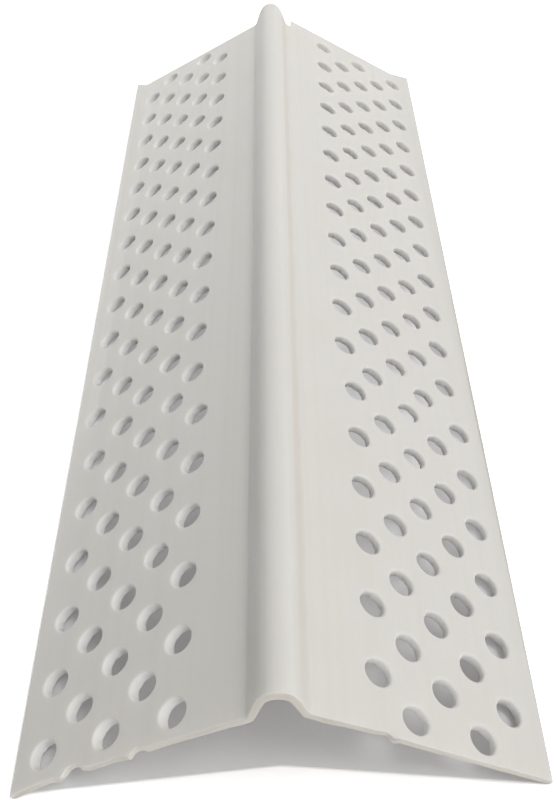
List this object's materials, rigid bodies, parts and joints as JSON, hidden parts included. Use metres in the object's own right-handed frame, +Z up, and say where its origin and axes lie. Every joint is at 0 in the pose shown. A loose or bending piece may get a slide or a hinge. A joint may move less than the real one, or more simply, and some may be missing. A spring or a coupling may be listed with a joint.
{
  "type": "drywall corner bead",
  "caption": "Short cut length of vinyl drywall corner bead: two flat perforated flanges splayed from a hollow rounded nose, to cover and straighten an outside board corner.",
  "frame": {"origin": "on the floor under the middle of the piece, which stands on the long outer edges of its flanges", "axes": "+Y along the length, near end of the picture at -Y; +Z up through the nose; +X to the right flange"},
  "size_m": [0.0552, 0.1518, 0.019],
  "materials": {
    "vinyl": "satin off-white vinyl"
  },
  "bodies": {
    "root": {"corner_bead": "vinyl"}
  },
  "joints": []
}
